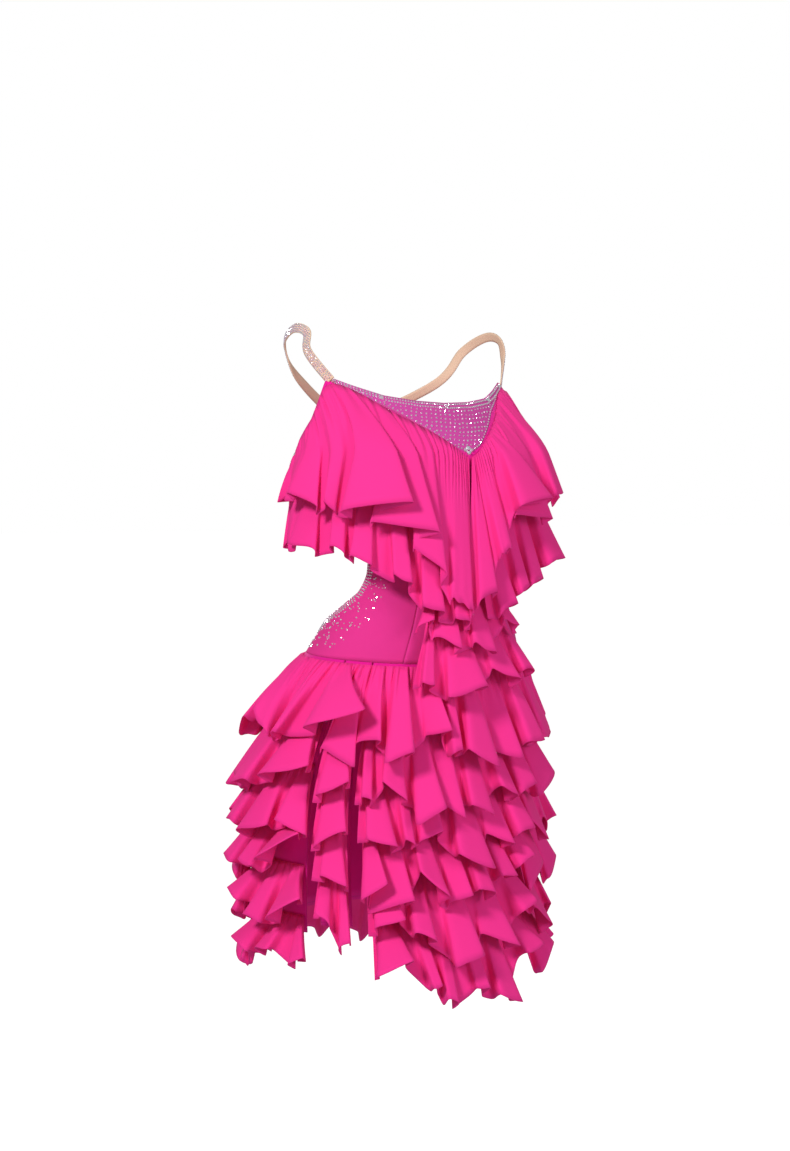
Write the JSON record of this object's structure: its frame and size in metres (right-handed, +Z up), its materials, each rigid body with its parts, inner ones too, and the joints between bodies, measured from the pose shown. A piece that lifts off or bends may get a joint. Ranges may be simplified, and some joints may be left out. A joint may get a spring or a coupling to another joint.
{
  "type": "rumba dance dress",
  "caption": "Short sleeveless stage dress with crossed straps, a V inset, an open back and one waist cut-out, covered in tiers of circular flounces.",
  "frame": {"origin": "midway between the tops of the two shoulder straps, where the wearer's shoulders hold the dress", "axes": "+X towards the wearer's left, -Y towards the wearer's front, +Z up"},
  "size_m": [0.4685, 0.3885, 0.8445],
  "materials": {
    "pink_crepe": "matt stretch crepe, hot pink, soft sheen",
    "yoke_crepe": "the same stretch crepe pulled smooth, slightly duller, set with small stones",
    "inset_crepe": "lilac pink stretch crepe set with rows of clear stones",
    "nude_elastic": "nude elastic covered in small clear stones"
  },
  "bodies": {
    "root": {"bodice_front": "pink_crepe", "skirt_front": "pink_crepe", "skirt_back": "pink_crepe", "slit_strip": "pink_crepe", "bust_flounce_right_upper": "pink_crepe", "bust_flounce_right_lower": "pink_crepe", "bust_flounce_left_upper": "pink_crepe", "bust_flounce_left_lower": "pink_crepe", "cascade_upper": "pink_crepe", "cascade_lower": "pink_crepe", "skirt_flounce_1": "pink_crepe", "skirt_flounce_2": "pink_crepe", "skirt_flounce_3": "pink_crepe", "skirt_flounce_4": "pink_crepe", "skirt_flounce_5": "pink_crepe", "skirt_flounce_6": "pink_crepe", "slit_flounce_1": "pink_crepe", "slit_flounce_2": "pink_crepe", "slit_flounce_3": "pink_crepe", "slit_flounce_4": "pink_crepe", "hip_side_right": "yoke_crepe", "hip_front": "yoke_crepe", "hip_back_left": "yoke_crepe", "neck_inset": "inset_crepe", "strap_right": "nude_elastic", "strap_left": "nude_elastic"}
  },
  "joints": []
}
